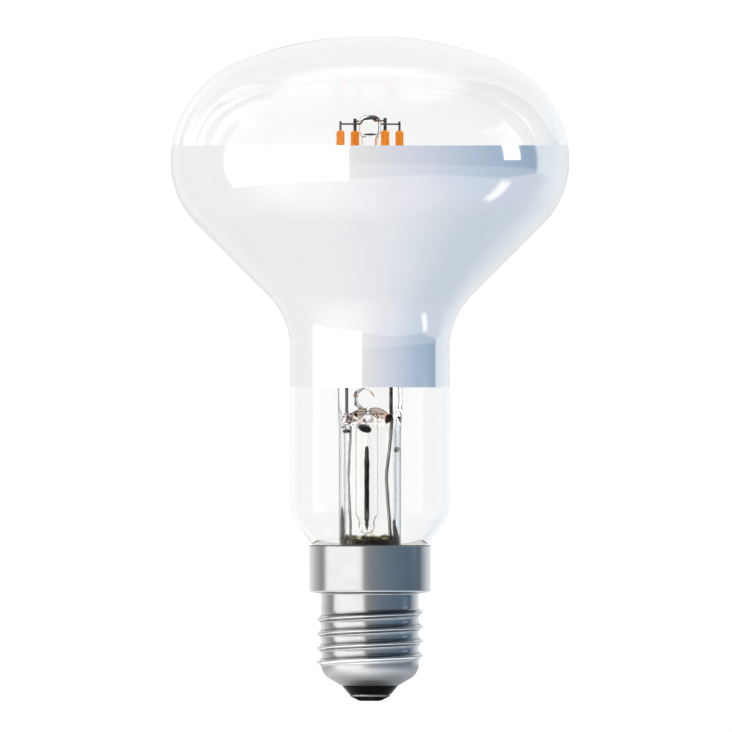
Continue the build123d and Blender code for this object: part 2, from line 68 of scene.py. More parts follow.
# Cap
skirt_radius, skirt_z, skirt_top = 7.6, 13.696, 19.546
lip, lip_bulge, lip_foot = 0.06, 0.05, 0.22
shell_root, shoulder_z, shell_foot, knee_z, knee_round = 6.1, 13.45, 4.296, 3.430, 2.0
mouth_radius, mouth_z = 3.5, 1.9
sheet, snug = 0.25, 0.01
thread_crest, thread_pitch, thread_start, thread_end = 6.68, 1.81, 3.896, 11.896
bead_half, bead_share = 0.45, 0.65
thread_row, thread_rows = 0.05, 165
contact_radius, contact_face, contact_height, contact_rim = 2.5, 1.6, 0.85, 0.25
rivet_radius, rivet_length = 0.6, 1.2
insulator_foot, insulator_bend = 2.65, 1.25

# Filaments
filament_low, filament_high, filament_circle = 43.546, 71.546, 4.15
filament_width, filament_thickness, filament_end, filament_row = 1.0, 0.9, 0.3, 0.1
chip_swell, squareness = 0.02, 0.6


def linear(shade):
    """An sRGB hex colour as the linear colour that a shader takes."""
    channels = [int(shade[i:i + 2], 16) / 255 for i in (1, 3, 5)]
    return [c / 12.92 if c < 0.04045 else ((c + 0.055) / 1.055) ** 2.4 for c in channels] + [1]


def node(tree, kind, inputs={}, stops=(), **settings):
    """Adds one node: its settings, its inputs as values or links from other nodes, and a ramp's stops."""
    made = tree.nodes.new(kind)
    for name, setting in settings.items():
        setattr(made, name, setting)
    for socket, given in inputs.items():
        if isinstance(given, bpy.types.NodeSocket):
            tree.links.new(given, made.inputs[socket])
        else:
            made.inputs[socket].default_value = given
    for i, (place, shade) in enumerate(stops):
        stop = made.color_ramp.elements[i] if i < 2 else made.color_ramp.elements.new(place)
        stop.position = place
        stop.color = linear(shade)
    return made


def empty_material(name):
    """A new material with no nodes yet."""
    made = bpy.data.materials.new(name)
    made.use_nodes = True
    made.node_tree.nodes.clear()
    return made


def grained_material(name, grain, detail, shades, finish, relief=()):
    """A finish of one grain size, between two shades, with a relief given by its strength and depth."""
    made = empty_material(name)
    tree = made.node_tree
    spot = node(tree, "ShaderNodeTexCoord").outputs["Object"]
    grains = node(tree, "ShaderNodeTexNoise", {"Vector": spot, "Scale": 1 / (grain * MM), "Detail": detail})
    dark, light = shades
    tint = node(tree, "ShaderNodeValToRGB", {"Fac": grains.outputs[0]}, stops=((0.3, dark), (0.7, light)))
    surface = {"Base Color": tint.outputs[0], **finish}
    if relief:
        strength, depth = relief
        lit = {"Height": grains.outputs[0], "Strength": strength, "Distance": depth * MM}
        surface["Normal"] = node(tree, "ShaderNodeBump", lit).outputs[0]
    shader = node(tree, "ShaderNodeBsdfPrincipled", surface)
    node(tree, "ShaderNodeOutputMaterial", {"Surface": shader.outputs[0]})
    return made


def arc(centre, radius, start, sweep, steps):
    """Points along an arc of a half section, as (r, z), angles in degrees."""
    turns = [radians(start + sweep * i / steps) for i in range(steps + 1)]
    return [(centre[0] + radius * cos(t), centre[1] + radius * sin(t)) for t in turns]


def rounded(corners, steps=8):
    """A line through corners (r, z, radius), each corner rounded to its radius."""
    line = []
    for i, corner in enumerate(corners):
        here = Vector(corner[:2])
        radius = corner[2] if len(corner) > 2 else 0
        if not radius:
            line.append(tuple(here))
            continue
        back = (Vector(corners[i - 1][:2]) - here).normalized()
        ahead = (Vector(corners[i + 1][:2]) - here).normalized()
        half = back.angle(ahead) / 2
        middle = here + (back + ahead).normalized() * (radius / sin(half))
        first = here + back * (radius / tan(half)) - middle
        swing = first.angle_signed(here + ahead * (radius / tan(half)) - middle)
        for s in range(steps + 1):
            turn = -swing * s / steps
            spoke = (first.x * cos(turn) - first.y * sin(turn), first.x * sin(turn) + first.y * cos(turn))
            line.append(tuple(middle + Vector(spoke)))
    return line


def envelope_line(inset):
    """The envelope's half section from the crown down to the seal, moved inwards by inset."""
    over, under = (bulb_radius - upper_knuckle, equator), (bulb_radius - lower_knuckle, equator)
    line = arc((0, crown_z - crown_radius), crown_radius - inset, 90, crown_turn - 90, 28)
    line += arc(over, upper_knuckle - inset, crown_turn, -crown_turn, 40)[1:]
    line += arc(under, lower_knuckle - inset, 0, -cone_angle, 28)[1:]
    neck_middle = (neck_radius + neck_fillet, neck_top)
    line += arc(neck_middle, neck_fillet + inset, 180 - cone_angle, cone_angle, 28)
    line += arc((neck_radius - draw_radius, neck_foot), draw_radius - inset, 0, -draw_angle, 16)
    seal_middle = (seal_radius + seal_fillet, seal_top)
    line += arc(seal_middle, seal_fillet + inset, 180 - draw_angle, draw_angle, 10)
    return line + [(seal_radius - inset, seal_z)]


def between(line, low, high):
    """The part of a falling half section between two heights."""
    kept = []
    for (r0, z0), (r1, z1) in zip(line, line[1:]):
        for cut in (high, low):
            if z1 < cut < z0:
                kept.append((r0 + (r1 - r0) * (z0 - cut) / (z0 - z1), cut))
        if low < z1 < high:
            kept.append((r1, z1))
    return sorted(kept, key=lambda point: -point[1])


def mesh_piece(name, points, faces, material, sharp=40):
    """A piece from points in millimetres, smooth except along edges sharper than an angle."""
    mesh = bpy.data.meshes.new(name)
    mesh.from_pydata([[c * MM for c in p] for p in points], [], faces)
    work = bmesh.new()
    work.from_mesh(mesh)
    bmesh.ops.recalc_face_normals(work, faces=work.faces)
    work.to_mesh(mesh)
    work.free()
    mesh.polygons.foreach_set("use_smooth", [True] * len(mesh.polygons))
    mesh.set_sharp_from_angle(angle=radians(sharp))
    mesh.materials.append(material)
    piece = bpy.data.objects.new(name, mesh)
    bpy.context.scene.collection.objects.link(piece)
    return piece


def rings_piece(name, rings, material, closed=False, sharp=40):
    """Skins rings of points in order, a lone point as a pole. Closed joins the last ring to the first."""
    points, starts, faces = [], [], []
    for ring in rings:
        starts.append(len(points))
        points += ring
    pairs = list(zip(range(len(rings)), range(1, len(rings))))
    if closed:
        pairs.append((len(rings) - 1, 0))
    for lower, upper in pairs:
        a, b = starts[lower], starts[upper]
        n, m = len(rings[lower]), len(rings[upper])
        for i in range(max(n, m)):
            j = (i + 1) % max(n, m)
            if n == 1:
                faces.append((a, b + j, b + i))
            elif m == 1:
                faces.append((a + i, a + j, b))
            else:
                faces.append((a + i, a + j, b + j, b + i))
    return mesh_piece(name, points, faces, material, sharp)


def turned_piece(name, line, material, around=160, closed=False, sharp=40):
    """A piece turned about the axis from its half section."""
    turns = [2 * pi * i / around for i in range(around)]
    rings = [[(r * cos(t), r * sin(t), z) for t in turns] if r > 1e-6 else [(0, 0, z)] for r, z in line]
    return rings_piece(name, rings, material, closed, sharp)


def oval(half_x, half_y, z):
    """A ring of the stem in the cage's frame, with half_x along the press."""
    ring = []
    for i in range(stem_around):
        x, y = half_x * cos(2 * pi * i / stem_around), half_y * sin(2 * pi * i / stem_around)
        ring.append((x * cos(cage_turn) - y * sin(cage_turn), x * sin(cage_turn) + y * cos(cage_turn), z))
    return ring


def cut_away(piece, tool):
    """Takes the tool's volume out of a piece and deletes the tool."""
    cut = piece.modifiers.new("cut", "BOOLEAN")
    cut.operation = "DIFFERENCE"
    cut.solver = "EXACT"
    cut.material_mode = "TRANSFER"
    cut.object = tool
    bpy.context.view_layer.update()
    carved = bpy.data.meshes.new_from_object(piece.evaluated_get(bpy.context.evaluated_depsgraph_get()))
    piece.modifiers.clear()
    piece.data = carved
    bpy.data.objects.remove(tool)


def smoothstep(low, high, value):
    """0 below low, 1 above high, and a soft rise between."""
    t = min(1, max(0, (value - low) / (high - low)))
    return t * t * (3 - 2 * t)


def settle(piece, slot, *replaced):
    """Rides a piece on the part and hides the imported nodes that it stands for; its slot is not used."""
    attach(piece, "root")
    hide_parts(*replaced)


# Blown soda-lime glass: clear, with a little painted grey shade where it is seen at a glance, and the slow
# waviness of a blown wall, about 9 mm from wave to wave
clear_glass = empty_material("blown_soda_lime_glass")
tree = clear_glass.node_tree
spot = node(tree, "ShaderNodeTexCoord").outputs["Object"]
waves = node(tree, "ShaderNodeTexNoise", {"Vector": spot, "Scale": 1 / (9 * MM), "Detail": 1})
bump = node(tree, "ShaderNodeBump", {"Height": waves.outputs[0], "Strength": 0.05, "Distance": 0.1 * MM})
# Painted shade: the base colour greys a little where the wall turns from view
glance = node(tree, "ShaderNodeLayerWeight", {"Blend": 0.5}).outputs["Facing"]
edge = node(tree, "ShaderNodeMapRange", {"Value": glance, "From Min": 0.35, "From Max": 0.8})
tint = node(
    tree,
    "ShaderNodeMix",
    {"Factor": edge.outputs[0], "A": linear("#FEFEFE"), "B": linear("#FAFAFA")},
    data_type="RGBA",
)
shader = node(
    tree,
    "ShaderNodeBsdfPrincipled",
    {
        "Base Color": tint.outputs[2],
        "Roughness": 0.0,
        "IOR": 1.52,
        "Transmission Weight": 1.0,
        "Specular Tint": linear("#646464"),
        "Normal": bump.outputs[0],
    },
)
node(tree, "ShaderNodeOutputMaterial", {"Surface": shader.outputs[0]})

# Evaporated aluminium: a bright mirror film, a little hazier in patches some 6 mm across
mirror_film = empty_material("evaporated_aluminium_mirror")
tree = mirror_film.node_tree
spot = node(tree, "ShaderNodeTexCoord").outputs["Object"]
patches = node(tree, "ShaderNodeTexNoise", {"Vector": spot, "Scale": 1 / (6 * MM), "Detail": 3}).outputs[0]
haze = node(tree, "ShaderNodeMapRange", {"Value": patches, "To Min": 0.03, "To Max": 0.07})
tint = node(tree, "ShaderNodeValToRGB", {"Fac": patches}, stops=((0.3, "#F1F2F3"), (0.7, "#F5F5F6")))
shader = node(
    tree,
    "ShaderNodeBsdfPrincipled",
    {"Base Color": tint.outputs[0], "Metallic": 1.0, "Roughness": haze.outputs[0]},
)
node(tree, "ShaderNodeOutputMaterial", {"Surface": shader.outputs[0]})

# Drawn and pressed stem glass: heavier than the envelope, ripply every 1.6 mm where the press squeezed it,
# with painted dark edges that stand for the light's long way through it, a foot mottled dark and pale every
# 0.9 mm, and dark and brown marks painted on its front for the refracted images and shaded edges seen in it,
# each with a dark rim. Each mark: x, z, half length, half width, tilt in degrees, shade
stem_painted_marks = (
    (-1.84, 35.8, 1.9, 0.75, 28, "#9A7F70"),
    (1.05, 36.1, 1.4, 0.68, -18, "#9A7F70"),
    (-0.65, 34.1, 0.95, 0.5, -20, "#15110F"),
    (-2.9, 33.8, 0.65, 0.26, 0, "#15110F"),
    (3.4, 31.5, 0.45, 0.4, 30, "#4A4644"),
    (2.3, 35.4, 0.75, 0.42, 60, "#24262A"),
    (-3.5, 21.5, 3.6, 0.3, 90, "#0E0C0A"),
    (3.3, 20.6, 2.2, 0.4, 100, "#0E0C0A"),
    (0.1, 71.05, 1.7, 0.2, 0, "#15110F"),
)
mark_front, mark_depth, mark_rim = -2.8, 2.5, "#2A211C"
mottle_low, mottle_high, mottle_ragged = skirt_top + 1.85, skirt_top + 2.15, 1.2
stem_glass = empty_material("drawn_stem_glass")
tree = stem_glass.node_tree
spot = node(tree, "ShaderNodeTexCoord").outputs["Object"]
height = node(tree, "ShaderNodeSeparateXYZ", {"Vector": spot}).outputs["Z"]
ripples = node(
    tree,
    "ShaderNodeTexNoise",
    {"Vector": spot, "Scale": 1 / (1.6 * MM), "Detail": 2},
).outputs[0]
bump = node(tree, "ShaderNodeBump", {"Height": ripples, "Strength": 0.25, "Distance": 0.1 * MM})
# Painted shade: the glass darkens towards its edges as they turn from view
glance = node(tree, "ShaderNodeLayerWeight", {"Blend": 0.5}).outputs["Facing"]
edge = node(tree, "ShaderNodeMapRange", {"Value": glance, "From Min": 0.5, "From Max": 0.8})
clear = node(
    tree,
    "ShaderNodeMix",
    {"Factor": edge.outputs[0], "A": linear("#FDFDFC"), "B": linear("#2A2826")},
    data_type="RGBA",
)
ragged = node(
    tree,
    "ShaderNodeMath",
    {0: ripples, 1: mottle_ragged * MM, 2: height},
    operation="MULTIPLY_ADD",
)
up = node(
    tree,
    "ShaderNodeMapRange",
    {"Value": ragged.outputs[0], "From Min": mottle_low * MM, "From Max": mottle_high * MM},
)
specks = node(tree, "ShaderNodeTexNoise", {"Vector": spot, "Scale": 1 / (0.9 * MM), "Detail": 2})
mottled = node(
    tree,
    "ShaderNodeValToRGB",
    {"Fac": specks.outputs[0]},
    stops=((0.46, "#3A3426"), (0.56, "#E6DEBE")),
)
tint = node(
    tree,
    "ShaderNodeMix",
    {"Factor": up.outputs[0], "A": mottled.outputs[0], "B": clear.outputs[2]},
    data_type="RGBA",
)
# Painted refraction and shade: each mark is a dark-rimmed oval multiplied onto the front of the glass
for x, z, half_length, half_width, tilt, shade in stem_painted_marks:
    leaf = node(
        tree,
        "ShaderNodeMapping",
        {
            "Vector": spot,
            "Location": (x * MM, mark_front * MM, z * MM),
            "Rotation": (0, radians(-tilt), 0),
            "Scale": (half_length * MM, mark_depth * MM, half_width * MM),
        },
        vector_type="TEXTURE",
    )
    inside = node(tree, "ShaderNodeTexGradient", {"Vector": leaf.outputs[0]}, gradient_type="SPHERICAL")
    mark = node(
        tree,
        "ShaderNodeValToRGB",
        {"Fac": inside.outputs[1]},
        stops=((0.03, "#FFFFFF"), (0.5, shade), (0.1, mark_rim), (0.16, mark_rim), (0.24, shade)),
    )
    tint = node(
        tree,
        "ShaderNodeMix",
        {"Factor": 1.0, "A": tint.outputs[2], "B": mark.outputs[0]},
        data_type="RGBA",
        blend_type="MULTIPLY",
    )
shader = node(
    tree,
    "ShaderNodeBsdfPrincipled",
    {
        "Base Color": tint.outputs[2],
        "Roughness": 0.0,
        "IOR": 1.56,
        "Transmission Weight": 1.0,
        "Specular Tint": linear("#565452"),
        "Normal": bump.outputs[0],
    },
)
node(tree, "ShaderNodeOutputMaterial", {"Surface": shader.outputs[0]})

# The exhaust tube's fine bore, lined near-black: patchy every 0.6 mm, and grey towards both ends
dark_bore = empty_material("darkened_exhaust_bore")
tree = dark_bore.node_tree
spot = node(tree, "ShaderNodeTexCoord").outputs["Object"]
height = node(tree, "ShaderNodeSeparateXYZ", {"Vector": spot}).outputs["Z"]
blotches = node(tree, "ShaderNodeTexNoise", {"Vector": spot, "Scale": 1 / (0.6 * MM), "Detail": 3})
patchy = node(
    tree,
    "ShaderNodeValToRGB",
    {"Fac": blotches.outputs[0]},
    stops=((0.3, "#8C8C8C"), (0.7, "#FFFFFF")),
)
up = node(
    tree,
    "ShaderNodeMapRange",
    {"Value": height, "From Min": exhaust_tip * MM, "From Max": dark_top * MM},
)
darkening = node(
    tree,
    "ShaderNodeValToRGB",
    {"Fac": up.outputs[0]},
    stops=((0.18, "#B4ACA8"), (1.0, "#8E8A88"), (0.27, "#0C0A09"), (0.76, "#0C0A09")),
)
tint = node(
    tree,
    "ShaderNodeMix",
    {"Factor": 1.0, "A": darkening.outputs[0], "B": patchy.outputs[0]},
    data_type="RGBA",
    blend_type="MULTIPLY",
)
shader = node(
    tree,
    "ShaderNodeBsdfPrincipled",
    {"Base Color": tint.outputs[2], "Roughness": 0.9, "Specular IOR Level": 0.05},
)
node(tree, "ShaderNodeOutputMaterial", {"Surface": shader.outputs[0]})

# Nickel-plated brass sheet, deep drawn: a satin sheen with faint drawing lines up the wall, 0.3 mm apart,
# and a painted cold tint on its right side for the blue wall it mirrors. Painted highlights brighten its
# rounded sides where they turn from view and the underside of each turn of the thread, with painted shade in
# a line on either side of the crest. The spun bowl has painted shade darkening towards its mouth, and
# painted shade lines lie along the rim and in the shoulder
cap_metal = empty_material("drawn_nickel_plated_brass")
tree = cap_metal.node_tree
spot = node(tree, "ShaderNodeTexCoord").outputs["Object"]
cap_x, cap_y, cap_z = node(tree, "ShaderNodeSeparateXYZ", {"Vector": spot}).outputs
stretch = node(tree, "ShaderNodeMapping", {"Vector": spot, "Scale": (1, 1, 0.05)})
lines = node(
    tree,
    "ShaderNodeTexNoise",
    {"Vector": stretch.outputs[0], "Scale": 1 / (0.3 * MM), "Detail": 3},
).outputs[0]
clouds = node(tree, "ShaderNodeTexNoise", {"Vector": spot, "Scale": 1 / (2.5 * MM), "Detail": 4})
plain = node(
    tree,
    "ShaderNodeValToRGB",
    {"Fac": clouds.outputs[0]},
    stops=((0.3, "#868686"), (0.7, "#8C8C8C")),
)
across = node(
    tree,
    "ShaderNodeMapRange",
    {"Value": cap_x, "From Min": -skirt_radius * MM, "From Max": skirt_radius * MM},
)
# Painted reflection: a cold tint multiplied onto the right side
painted_cold_side = node(
    tree,
    "ShaderNodeValToRGB",
    {"Fac": across.outputs[0]},
    stops=((0.47, "#FFFFFF"), (0.92, "#FFFFFF"), (0.6, "#DDF2FF"), (0.84, "#DDF2FF")),
)
cooled = node(
    tree,
    "ShaderNodeMix",
    {"Factor": 1.0, "A": plain.outputs[0], "B": painted_cold_side.outputs[0]},
    data_type="RGBA",
    blend_type="MULTIPLY",
)
# Painted highlight: lighter where the sides turn from view and where the surface faces down
glance = node(tree, "ShaderNodeLayerWeight", {"Blend": 0.5}).outputs["Facing"]
edge = node(tree, "ShaderNodeMapRange", {"Value": glance, "From Min": 0.4, "From Max": 0.72, "To Max": 0.8})
form = node(tree, "ShaderNodeNewGeometry")
slope = node(tree, "ShaderNodeSeparateXYZ", {"Vector": form.outputs["Normal"]}).outputs["Z"]
flank = node(tree, "ShaderNodeMapRange", {"Value": slope, "From Min": -0.2, "From Max": -0.5})
painted_sheen = node(tree, "ShaderNodeMath", {0: edge.outputs[0], 1: flank.outputs[0]}, operation="MAXIMUM")
sheen_lit = node(
    tree,
    "ShaderNodeMix",
    {"Factor": painted_sheen.outputs[0], "A": cooled.outputs[2], "B": linear("#DCDDDE")},
    data_type="RGBA",
)
# Painted shade: the bowl darkens towards its mouth and lightens up the cone
bowl_rise = node(
    tree,
    "ShaderNodeMapRange",
    {"Value": cap_z, "From Min": mouth_z * MM, "From Max": (mouth_z + 2.5) * MM},
)
bowl = node(
    tree,
    "ShaderNodeValToRGB",
    {"Fac": bowl_rise.outputs[0]},
    stops=((0.1, "#565656"), (1.0, "#A2A2A2"), (0.35, "#6E6E6E"), (0.55, "#929292"), (0.75, "#A6A6A6")),
)
upright = node(
    tree,
    "ShaderNodeMapRange",
    {"Value": cap_z, "From Min": (shell_foot - 0.2) * MM, "From Max": (shell_foot + 0.8) * MM},
).outputs[0]
plating = node(
    tree,
    "ShaderNodeMix",
    {"Factor": upright, "A": bowl.outputs[0], "B": sheen_lit.outputs[2]},
    data_type="RGBA",
)
# Painted shade lines: along the rim's top edge and in the shoulder under the skirt
shade_line_low, shade_line_reach = shoulder_z - 1, 8
shade_line_stops = (
    (shoulder_z - 0.06, "#FFFFFF"),
    (skirt_top - 0.12, "#808080"),
    (shoulder_z + 0.01, "#6A6A6A"),
    (skirt_z - 0.08, "#6A6A6A"),
    (skirt_z - 0.02, "#FFFFFF"),
    (skirt_top - 0.2, "#FFFFFF"),
)
up = node(
    tree,
    "ShaderNodeMapRange",
    {"Value": cap_z, "From Min": shade_line_low * MM, "From Max": (shade_line_low + shade_line_reach) * MM},
)
painted_shade_lines = node(
    tree,
    "ShaderNodeValToRGB",
    {"Fac": up.outputs[0]},
    stops=[((z - shade_line_low) / shade_line_reach, shade) for z, shade in shade_line_stops],
)
shade_lined = node(
    tree,
    "ShaderNodeMix",
    {"Factor": 1.0, "A": plating.outputs[2], "B": painted_shade_lines.outputs[0]},
    data_type="RGBA",
    blend_type="MULTIPLY",
)
turn = node(tree, "ShaderNodeMath", {0: cap_y, 1: cap_x}, operation="ARCTAN2")
climb = node(
    tree,
    "ShaderNodeMath",
    {0: cap_z, 1: 1 / (thread_pitch * MM), 2: 0.5 - thread_start / thread_pitch},
    operation="MULTIPLY_ADD",
)
run = node(
    tree,
    "ShaderNodeMath",
    {0: turn.outputs[0], 1: -0.5 / pi, 2: climb.outputs[0]},
    operation="MULTIPLY_ADD",
)
off_crest = node(tree, "ShaderNodeMath", {0: run.outputs[0]}, operation="FRACT")
# Painted shade: a darker line on either side of each crest of the thread
painted_thread_shade = node(
    tree,
    "ShaderNodeValToRGB",
    {"Fac": off_crest.outputs[0]},
    stops=(
        (0.0, "#FFFFFF"), (1.0, "#FFFFFF"), (0.24, "#FFFFFF"), (0.29, "#9C9C9C"), (0.34, "#9C9C9C"),
        (0.4, "#FFFFFF"), (0.6, "#FFFFFF"), (0.67, "#B8B8B8"), (0.72, "#B8B8B8"), (0.78, "#FFFFFF"),
    ),
)
threaded = node(
    tree,
    "ShaderNodeMapRange",
    {"Value": cap_z, "From Min": (thread_end - 0.2) * MM, "From Max": (thread_end - 0.6) * MM},
)
on_thread = node(tree, "ShaderNodeMath", {0: threaded.outputs[0], 1: upright}, operation="MULTIPLY")
thread_shaded = node(
    tree,
    "ShaderNodeMix",
    {"Factor": on_thread.outputs[0], "A": shade_lined.outputs[2], "B": painted_thread_shade.outputs[0]},
    data_type="RGBA",
    blend_type="MULTIPLY",
)
satin = node(tree, "ShaderNodeMapRange", {"Value": lines, "To Min": 0.36, "To Max": 0.46})
polish = node(tree, "ShaderNodeMath", {0: upright, 1: -0.2, 2: satin.outputs[0]}, operation="MULTIPLY_ADD")
bump = node(tree, "ShaderNodeBump", {"Height": lines, "Strength": 0.05, "Distance": 0.02 * MM})
shader = node(
    tree,
    "ShaderNodeBsdfPrincipled",
    {
        "Base Color": thread_shaded.outputs[2],
        "Metallic": 1.0,
        "Roughness": polish.outputs[0],
        "Normal": bump.outputs[0],
    },
)
node(tree, "ShaderNodeOutputMaterial", {"Surface": shader.outputs[0]})

# Tinned contact: painted shade on its domed face and under the insulator, with one painted highlight line
# round its side, and scuffed in patches of 0.5 mm
contact_tin = empty_material("tinned_contact_scuffed")
tree = contact_tin.node_tree
spot = node(tree, "ShaderNodeTexCoord").outputs["Object"]
height = node(tree, "ShaderNodeSeparateXYZ", {"Vector": spot}).outputs["Z"]
scuffs = node(tree, "ShaderNodeTexNoise", {"Vector": spot, "Scale": 1 / (0.5 * MM), "Detail": 5}).outputs[0]
up = node(tree, "ShaderNodeMapRange", {"Value": height, "From Max": contact_height * MM})
# Painted shade and highlight by height: dark face, a light line round the side, dark under the insulator
painted_bands = node(
    tree,
    "ShaderNodeValToRGB",
    {"Fac": up.outputs[0]},
    stops=((0.6, "#2A2A2B"), (0.94, "#1A1A1A"), (0.68, "#8E908F"), (0.84, "#8E908F")),
)
patchy = node(tree, "ShaderNodeValToRGB", {"Fac": scuffs}, stops=((0.35, "#C8C8C8"), (0.65, "#FFFFFF")))
tint = node(
    tree,
    "ShaderNodeMix",
    {"Factor": 1.0, "A": painted_bands.outputs[0], "B": patchy.outputs[0]},
    data_type="RGBA",
    blend_type="MULTIPLY",
)
dull = node(tree, "ShaderNodeMapRange", {"Value": scuffs, "To Min": 0.4, "To Max": 0.6})
shader = node(
    tree,
    "ShaderNodeBsdfPrincipled",
    {
        "Base Color": tint.outputs[2],
        "Metallic": 1.0,
        "Roughness": dull.outputs[0],
        "Specular Tint": linear("#303030"),
    },
)
node(tree, "ShaderNodeOutputMaterial", {"Surface": shader.outputs[0]})

# Glass-epoxy board under dark solder mask: the weave, 0.5 mm from thread to thread, shows through as a faint
# grid
board = empty_material("masked_glass_epoxy_board")
tree = board.node_tree
spot = node(tree, "ShaderNodeTexCoord").outputs["Object"]
weave = node(
    tree,
    "ShaderNodeTexBrick",
    {
        "Vector": spot,
        "Scale": 1 / (0.5 * MM),
        "Color1": linear("#29241A"),
        "Color2": linear("#332D20"),
        "Mortar": linear("#1B1812"),
    },
)
shader = node(
    tree,
    "ShaderNodeBsdfPrincipled",
    {"Base Color": weave.outputs[0], "Roughness": 0.5, "IOR": 1.55, "Specular IOR Level": 0.1},
)
node(tree, "ShaderNodeOutputMaterial", {"Surface": shader.outputs[0]})

# Black cap glass, cast into the shell: deep gloss with a few shallow flow marks about 1.5 mm across
black_glass = grained_material(
    "cast_black_glass",
    1.5,
    3,
    ("#0A0705", "#120C08"),
    {"Roughness": 0.2, "IOR": 1.55, "Specular IOR Level": 0.02},
    (0.15, 0.05),
)

# Phosphor in silicone, moulded round the filament strip: matt orange with a faint painted glow of its own,
# though the filaments are unlit, and a paler grain of 0.25 mm
phosphor = grained_material(
    "moulded_phosphor_silicone",
    0.25,
    4,
    ("#E88214", "#FFA433"),
    {
        "Roughness": 0.45,
        "IOR": 1.41,
        "Specular IOR Level": 0.2,
        "Subsurface Weight": 0.3,
        "Subsurface Radius": (1.0, 0.5, 0.2),
        "Subsurface Scale": 0.4 * MM,
        "Emission Color": linear("#FF8C1E"),
        "Emission Strength": 0.3,
    },
    (0.3, 0.03),
)

# Drawn nickel wire and tab: grey-brown metal, mottled by drawing scratches 0.08 mm apart
nickel_wire = grained_material(
    "drawn_nickel_wire", 0.08, 2, ("#4C463F", "#625B53"), {"Metallic": 1.0, "Roughness": 0.28}
)

# Copper-clad seal wire, borated: dark brown where it is fused into the press, oxide in patches of 0.3 mm
seal_wire = grained_material(
    "borated_copper_clad_wire", 0.3, 4, ("#37312D", "#57504B"), {"Metallic": 1.0, "Roughness": 0.35}
)

# Tinned copper wire: soft grey shine with dull spots about 0.2 mm across
tinned_wire = grained_material(
    "tinned_copper_wire", 0.2, 3, ("#63605D", "#807D79"), {"Metallic": 1.0, "Roughness": 0.25}
)

# Moulded epoxy of the rectifier and the chip: matt black with a fine 0.1 mm mould grain
moulded_black = grained_material(
    "moulded_black_epoxy", 0.1, 2, ("#161617", "#262627"), {"Roughness": 0.6, "IOR": 1.55}, (0.3, 0.02)
)

# Shrunk PVC sleeve of the capacitor: dark green-black film with soft creases 1 mm apart
capacitor_sleeve = grained_material(
    "shrunk_pvc_sleeve", 1.0, 2, ("#141C19", "#1F2A26"), {"Roughness": 0.3, "IOR": 1.53}, (0.2, 0.05)
)

# Dipped lacquer of the fuse resistor: dusty blue-grey with a pebbled skin of 0.3 mm
resistor_body = grained_material(
    "dipped_lacquer", 0.3, 2, ("#56707E", "#6E8A98"), {"Roughness": 0.4, "IOR": 1.5}, (0.3, 0.04)
)

# Baked capping cement: matt off-white with grit of 0.2 mm, and a little light of its own for what the glass
# wall above leads down to it
capping_cement = grained_material(
    "baked_capping_cement",
    0.2,
    4,
    ("#CFC9BC", "#E2DDD2"),
    {"Roughness": 0.85, "Emission Color": linear("#F6F4F0"), "Emission Strength": 0.6},
    (0.5, 0.05),
)

# Glass envelope: outer and inner skin, joined round the seal
glass_line = envelope_line(0) + envelope_line(wall)[::-1]
envelope = turned_piece("envelope_glass", glass_line, clear_glass, around=192)
settle(envelope, "clear_glass", "glass_envelope")

# Mirror film: its outer face is sunk a hair into the glass, so that no air film shows between them
film_outside = between(envelope_line(wall - film_sunk), film_low, film_high)
film_inside = between(envelope_line(wall + film_thickness), film_low, film_high)
film = turned_piece("mirror_film", film_outside + film_inside[::-1], mirror_film, around=192, closed=True)
settle(film, "mirror_film", "mirror_coating")

# Glass stem: flare, tube, press, rod and button in one skin, then hollowed round the exhaust tube
stem_rows = [(0, seal_z), (seal_radius - wall, seal_z)]
stem_rows += rounded(
    [
        (seal_radius - wall, seal_z + stem_wall),
        (stem_radius, seal_z + stem_wall, flare_radius),
        (stem_radius, taper_z),
    ]
)
rings = [oval(r, r, z) if r else [(0, 0, z)] for r, z in stem_rows]
for step in range(1, 13):
    share = smoothstep(0, 12, step)
    half_x = stem_radius + (press_half_width - stem_radius) * share
    half_y = stem_radius + (press_half_thickness - stem_radius) * share
    rings.append(oval(half_x, half_y, taper_z + (press_z - taper_z) * step / 12))
press_shoulder = press_top - press_round
for step in range(1, 6):
    row_z = press_z + (press_shoulder - press_z) * step / 5
    rings.append(oval(press_half_width, press_half_thickness, row_z))
for step in range(1, 9):
    drop = press_round * (1 - cos(pi / 2 * step / 8))
    rise = press_round * sin(pi / 2 * step / 8)
    half_x, half_y = press_half_width - round_along * drop, press_half_thickness - round_across * drop
    rings.append(oval(half_x, half_y, press_shoulder + rise))
button_line = rounded(
    [
        (rod_radius + rod_foot, press_top),
        (rod_radius, press_top + rod_fillet, rod_fillet),
        (rod_radius, button_z, button_neck),
        (button_radius, button_z + button_neck, button_neck),
        (button_radius, button_top, button_round),
        (0, button_top),
    ]
)
rings += [oval(r, r, z) if r > 1e-6 else [(0, 0, z)] for r, z in button_line]
stem = rings_piece("stem_glass", rings, stem_glass)
hollow_low = seal_z - 0.02
hollow_rows = rounded(
    [
        (seal_radius - wall + 1, hollow_low),
        (stem_bore, hollow_low, flare_radius + stem_wall),
        (stem_bore, taper_z),
    ]
)
rings = [[(0, 0, hollow_low)]] + [oval(r, r, z) for r, z in hollow_rows]
for step in range(1, 16):
    share = sin(pi / 2 * step / 16)
    half_x = stem_bore * (1 - 0.25 * share ** 6)
    half_y = stem_bore + (slot_half - stem_bore) * smoothstep(0, 1, share)
    half_y *= (1 - share ** 8) ** 0.5
    rings.append(oval(half_x, half_y, taper_z + (slot_z - taper_z) * share))
rings.append([(0, 0, slot_z)])
hollow = rings_piece("stem_hollow", rings, stem_glass)
